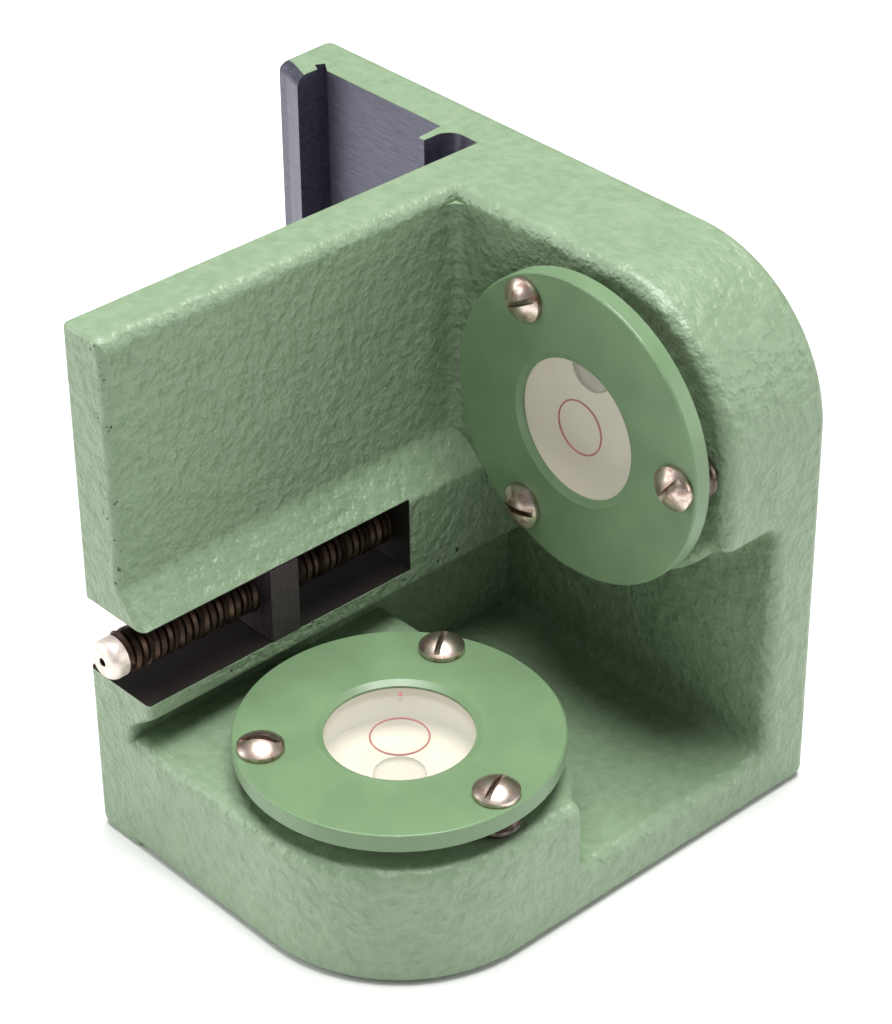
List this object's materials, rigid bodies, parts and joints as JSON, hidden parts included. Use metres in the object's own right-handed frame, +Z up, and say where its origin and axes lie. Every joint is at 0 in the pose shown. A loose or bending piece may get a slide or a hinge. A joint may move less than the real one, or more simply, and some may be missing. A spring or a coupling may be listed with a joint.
{
  "type": "precision machinist level",
  "caption": "Cast corner block with circular spirit vials on its floor and back plate, and a screw-driven clamp block behind a work corner.",
  "frame": {"origin": "on the underside of the floor plate, under the centre of the lower vial", "axes": "+Z up; +Y towards the back plate; -X towards the work corner and wing"},
  "size_m": [0.0936, 0.0776, 0.076],
  "materials": {
    "cast_paint": "hammered texture paint",
    "flange_paint": "semi-gloss",
    "nickel_screw": "tarnished nickel",
    "spring_steel": "satin",
    "oxide_steel": "black oxide",
    "oxide_steel_block": "black oxide",
    "vial_glass": "polished",
    "vial_fluid": "clear liquid",
    "vial_cup": "satin",
    "dial_enamel": "satin cream"
  },
  "bodies": {
    "level_body": {"body_casting": "cast_paint", "flange_lower": "flange_paint", "vial_glass_lower": "vial_glass", "vial_cup_lower": "vial_cup", "vial_dial_lower": "dial_enamel", "vial_fluid_lower": "vial_fluid", "adjusting_screw_lower_1": "nickel_screw", "spring_washers_lower_1": "spring_steel", "adjusting_screw_lower_2": "nickel_screw", "spring_washers_lower_2": "spring_steel", "adjusting_screw_lower_3": "nickel_screw", "spring_washers_lower_3": "spring_steel", "flange_upper": "flange_paint", "vial_glass_upper": "vial_glass", "vial_cup_upper": "vial_cup", "vial_dial_upper": "dial_enamel", "vial_fluid_upper": "vial_fluid", "adjusting_screw_upper_1": "nickel_screw", "spring_washers_upper_1": "spring_steel", "adjusting_screw_upper_2": "nickel_screw", "spring_washers_upper_2": "spring_steel", "adjusting_screw_upper_3": "nickel_screw", "spring_washers_upper_3": "spring_steel"},
    "clamp_screw": {"clamp_screw": "oxide_steel"},
    "clamp_block": {"clamp_block": "oxide_steel_block"}
  },
  "joints": [
    {"name": "clamp_screw_turn", "type": "hinge", "parent": "level_body", "child": "clamp_screw", "pos_m": [-0.02795, 0, 0.0309], "axis": [0, 1, 0], "range_deg": [-6841, 6481]},
    {"name": "clamp_block_slide", "type": "slide", "parent": "level_body", "child": "clamp_block", "axis": [0, 1, 0], "range_m": [-0.018, 0.019]}
  ],
  "couplings": [
    {"joint": "clamp_screw_turn", "follows": "clamp_block_slide", "rad_per_m": -6283.2}
  ]
}
